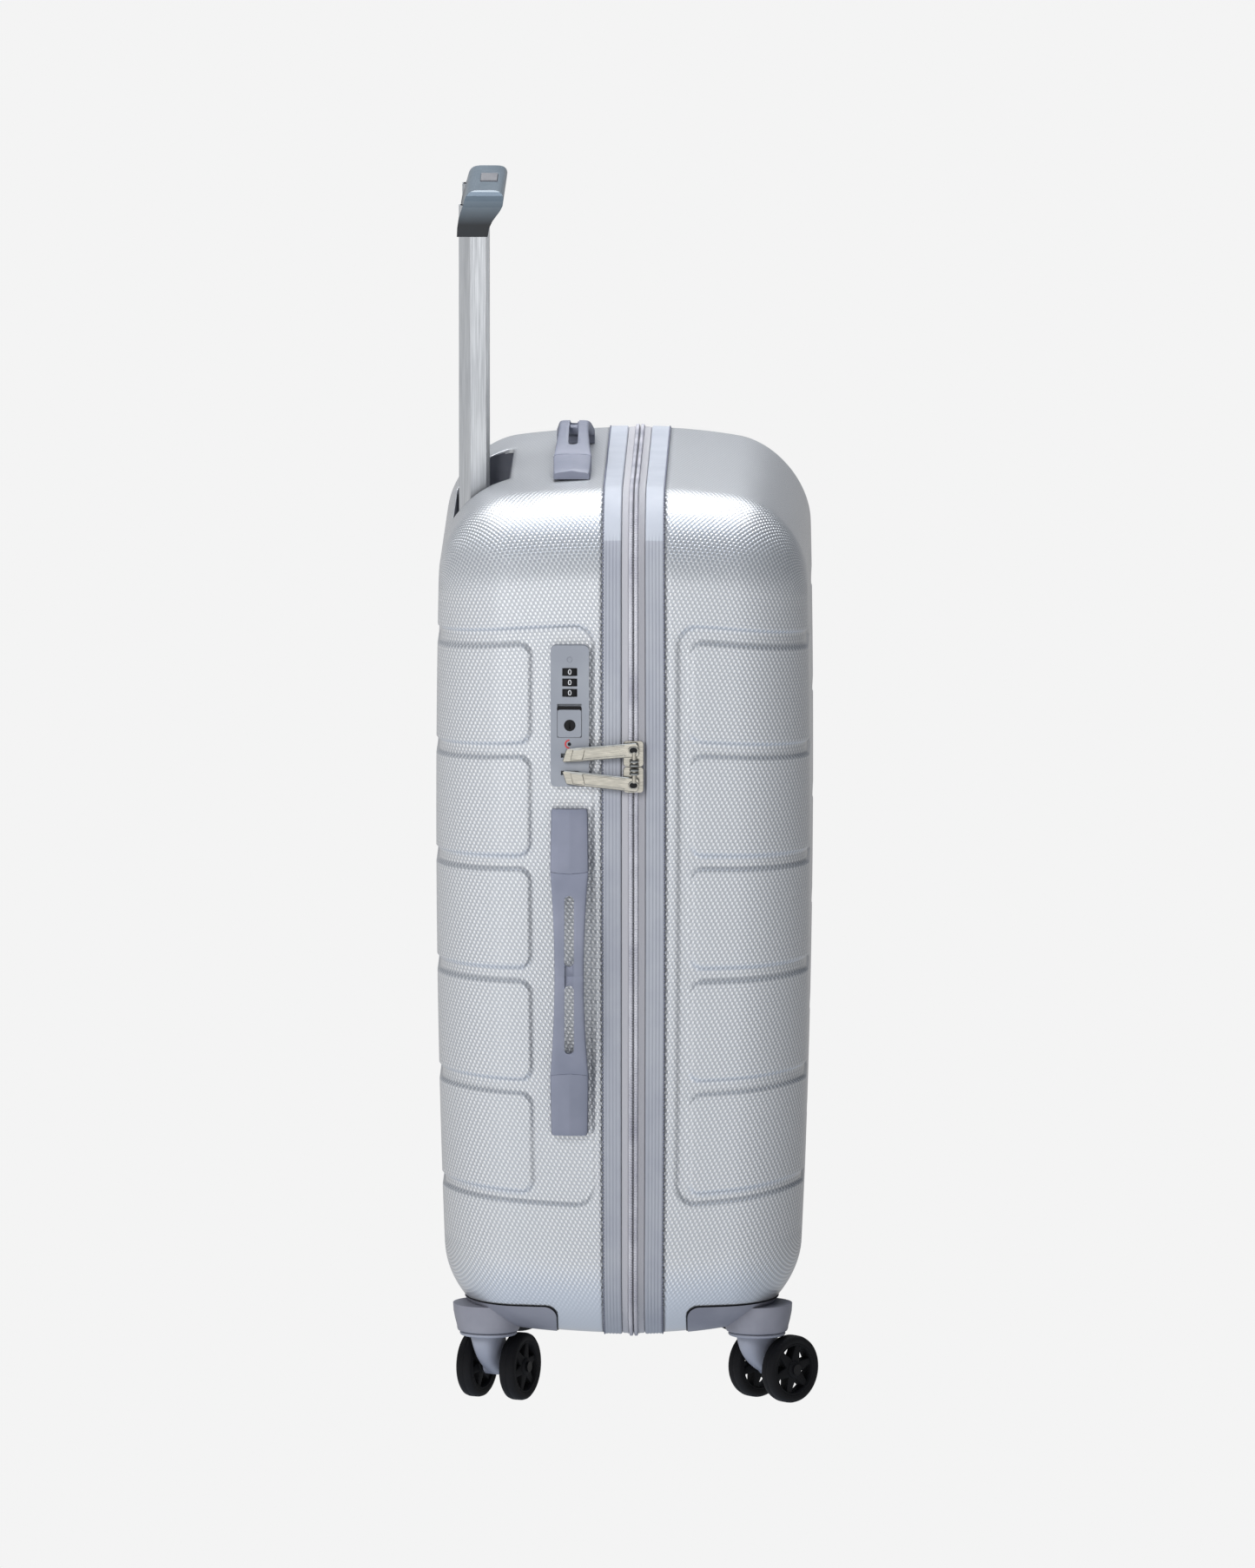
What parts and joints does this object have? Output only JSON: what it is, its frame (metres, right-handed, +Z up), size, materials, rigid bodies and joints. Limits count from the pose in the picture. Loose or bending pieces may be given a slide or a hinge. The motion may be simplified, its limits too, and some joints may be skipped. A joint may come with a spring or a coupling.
{
  "type": "hard case luggage on casters",
  "caption": "Hard-sided upright travel case with a zip-hinged lid, telescopic pull handle, combination lock, carry handles and twin swivel casters.",
  "frame": {"origin": "on the floor, under the middle of the whole object at rest", "axes": "+Z up; +X towards the lid face; -X is the pull handle face; -Y is the side with the lock and the carry handle"},
  "size_m": [0.2797, 0.4747, 0.8858],
  "materials": {
    "shell": "silver polycarbonate with an embossed twill",
    "trim": "fine ribbed grey edging",
    "zip_tape": "woven grey tape with coil teeth",
    "lining": "woven polyester lining",
    "trolley_plastic": "glossy grey blue plastic",
    "black_plastic": "satin black",
    "lock": "satin grey",
    "guard": "dark grey moulded",
    "fork": "grey moulded nylon",
    "steel": "plated steel",
    "wheel": "black polyurethane tyre on a plastic hub",
    "tube": "satin anodised",
    "handle": "soft grey blue plastic",
    "pull": "warm nickel plate"
  },
  "bodies": {
    "root": {"back_shell": "shell", "trim_back": "trim", "zip_back": "zip_tape", "lining_back": "lining", "trolley_bezel": "trolley_plastic", "trolley_foot_bracket": "black_plastic", "trolley_outer_tube_right": "tube", "trolley_outer_tube_left": "tube", "caster_housing_rear_right": "guard", "caster_housing_rear_left": "guard", "lock_case": "lock", "side_handle_cap_upper": "handle", "side_handle_cap_lower": "handle", "top_handle_cap_right": "handle", "top_handle_cap_left": "handle"},
    "lid": {"front_shell": "shell", "trim_front": "trim", "zip_front": "zip_tape", "lining_front": "lining", "caster_housing_front_right": "guard", "caster_housing_front_left": "guard"},
    "trolley_mid": {"trolley_mid_tube_right": "tube", "trolley_mid_tube_left": "tube", "trolley_mid_collar_right": "black_plastic", "trolley_mid_collar_left": "black_plastic"},
    "trolley_handle": {"trolley_inner_tube_right": "tube", "trolley_inner_tube_left": "tube", "trolley_grip": "trolley_plastic"},
    "trolley_button": {"trolley_release_button": "black_plastic"},
    "lock_button": {"lock_button": "lock"},
    "key_cylinder": {"lock_key_cylinder": "black_plastic"},
    "dial_1": {"lock_dial_1": "black_plastic"},
    "dial_2": {"lock_dial_2": "black_plastic"},
    "dial_3": {"lock_dial_3": "black_plastic"},
    "slider_upper": {"zip_slider_upper": "steel"},
    "slider_lower": {"zip_slider_lower": "steel"},
    "pull_upper": {"zip_pull_upper": "pull"},
    "pull_lower": {"zip_pull_lower": "pull"},
    "side_handle": {"side_handle_grip": "handle"},
    "top_handle": {"top_handle_grip": "handle"},
    "caster_rear_right": {"caster_fork_rear_right": "fork", "caster_axle_rear_right": "steel"},
    "wheel_rear_right_a": {"wheel_rear_right_a": "wheel"},
    "wheel_rear_right_b": {"wheel_rear_right_b": "wheel"},
    "caster_rear_left": {"caster_fork_rear_left": "fork", "caster_axle_rear_left": "steel"},
    "wheel_rear_left_a": {"wheel_rear_left_a": "wheel"},
    "wheel_rear_left_b": {"wheel_rear_left_b": "wheel"},
    "caster_front_right": {"caster_fork_front_right": "fork", "caster_axle_front_right": "steel"},
    "wheel_front_right_a": {"wheel_front_right_a": "wheel"},
    "wheel_front_right_b": {"wheel_front_right_b": "wheel"},
    "caster_front_left": {"caster_fork_front_left": "fork", "caster_axle_front_left": "steel"},
    "wheel_front_left_a": {"wheel_front_left_a": "wheel"},
    "wheel_front_left_b": {"wheel_front_left_b": "wheel"}
  },
  "joints": [
    {"name": "lid_hinge", "type": "hinge", "parent": "root", "child": "lid", "pos_m": [0.0083, 0.2372, 0.36475], "axis": [0, 0, 1], "range_deg": [0, 180]},
    {"name": "trolley_second_stage", "type": "slide", "parent": "root", "child": "trolley_mid", "axis": [0, 0, 1], "range_m": [0, 0.17]},
    {"name": "trolley_first_stage", "type": "slide", "parent": "trolley_mid", "child": "trolley_handle", "axis": [0, 0, 1], "range_m": [-0.23, 0]},
    {"name": "trolley_button_press", "type": "slide", "parent": "trolley_handle", "child": "trolley_button", "axis": [0, 0, -1], "range_m": [0, 0.004], "stiffness_N_per_m": 500},
    {"name": "lock_button_slide", "type": "slide", "parent": "root", "child": "lock_button", "axis": [0, 0, 1], "range_m": [0, 0.0038], "stiffness_N_per_m": 400},
    {"name": "key_turn", "type": "hinge", "parent": "lock_button", "child": "key_cylinder", "pos_m": [-0.0382, -0.217, 0.511], "axis": [0, 1, 0], "range_deg": [0, 90]},
    {"name": "dial_1_turn", "type": "hinge", "parent": "root", "child": "dial_1", "pos_m": [-0.0382, -0.2076, 0.5503], "axis": [0, 0, 1], "continuous": true},
    {"name": "dial_2_turn", "type": "hinge", "parent": "root", "child": "dial_2", "pos_m": [-0.0382, -0.2076, 0.5426], "axis": [0, 0, 1], "continuous": true},
    {"name": "dial_3_turn", "type": "hinge", "parent": "root", "child": "dial_3", "pos_m": [-0.0382, -0.2076, 0.5349], "axis": [0, 0, 1], "continuous": true},
    {"name": "slider_upper_slide", "type": "slide", "parent": "root", "child": "slider_upper", "axis": [0, 0, 1], "range_m": [0, 0.11]},
    {"name": "pull_upper_swing", "type": "hinge", "parent": "slider_upper", "child": "pull_upper", "pos_m": [0.0093, -0.2244, 0.4939], "axis": [0, 0, 1], "range_deg": [0, 165]},
    {"name": "slider_lower_slide", "type": "slide", "parent": "root", "child": "slider_lower", "axis": [0, 0, -1], "range_m": [0, 0.006]},
    {"name": "pull_lower_swing", "type": "hinge", "parent": "slider_lower", "child": "pull_lower", "pos_m": [0.0093, -0.2244, 0.4681], "axis": [0, 0, 1], "range_deg": [0, 165]},
    {"name": "side_handle_flex", "type": "slide", "parent": "root", "child": "side_handle", "axis": [0, -1, 0], "range_m": [0, 0.008], "stiffness_N_per_m": 900},
    {"name": "top_handle_flex", "type": "slide", "parent": "root", "child": "top_handle", "axis": [0, 0, 1], "range_m": [0, 0.008], "stiffness_N_per_m": 900},
    {"name": "swivel_rear_right", "type": "hinge", "parent": "root", "child": "caster_rear_right", "pos_m": [-0.099, -0.156, 0.06], "axis": [0, 0, 1], "continuous": true},
    {"name": "spin_rear_right_a", "type": "hinge", "parent": "caster_rear_right", "child": "wheel_rear_right_a", "pos_m": [-0.10768, -0.1332, 0.025], "axis": [-0.9063, 0.4226, 0], "continuous": true},
    {"name": "spin_rear_right_b", "type": "hinge", "parent": "caster_rear_right", "child": "wheel_rear_right_b", "pos_m": [-0.07595, -0.14799, 0.025], "axis": [-0.9063, 0.4226, 0], "continuous": true},
    {"name": "swivel_rear_left", "type": "hinge", "parent": "root", "child": "caster_rear_left", "pos_m": [-0.099, 0.174, 0.06], "axis": [0, 0, 1], "continuous": true},
    {"name": "spin_rear_left_a", "type": "hinge", "parent": "caster_rear_left", "child": "wheel_rear_left_a", "pos_m": [-0.082, 0.1915, 0.025], "axis": [0, 1, 0], "continuous": true},
    {"name": "spin_rear_left_b", "type": "hinge", "parent": "caster_rear_left", "child": "wheel_rear_left_b", "pos_m": [-0.082, 0.1565, 0.025], "axis": [0, 1, 0], "continuous": true},
    {"name": "swivel_front_right", "type": "hinge", "parent": "lid", "child": "caster_front_right", "pos_m": [0.098, -0.156, 0.06], "axis": [0, 0, 1], "continuous": true},
    {"name": "spin_front_right_a", "type": "hinge", "parent": "caster_front_right", "child": "wheel_front_right_a", "pos_m": [0.09765, -0.1316, 0.025], "axis": [-0.7071, 0.7071, 0], "continuous": true},
    {"name": "spin_front_right_b", "type": "hinge", "parent": "caster_front_right", "child": "wheel_front_right_b", "pos_m": [0.1224, -0.15635, 0.025], "axis": [-0.7071, 0.7071, 0], "continuous": true},
    {"name": "swivel_front_left", "type": "hinge", "parent": "lid", "child": "caster_front_left", "pos_m": [0.098, 0.174, 0.06], "axis": [0, 0, 1], "continuous": true},
    {"name": "spin_front_left_a", "type": "hinge", "parent": "caster_front_left", "child": "wheel_front_left_a", "pos_m": [0.081, 0.1565, 0.025], "axis": [0, -1, 0], "continuous": true},
    {"name": "spin_front_left_b", "type": "hinge", "parent": "caster_front_left", "child": "wheel_front_left_b", "pos_m": [0.081, 0.1915, 0.025], "axis": [0, -1, 0], "continuous": true}
  ]
}
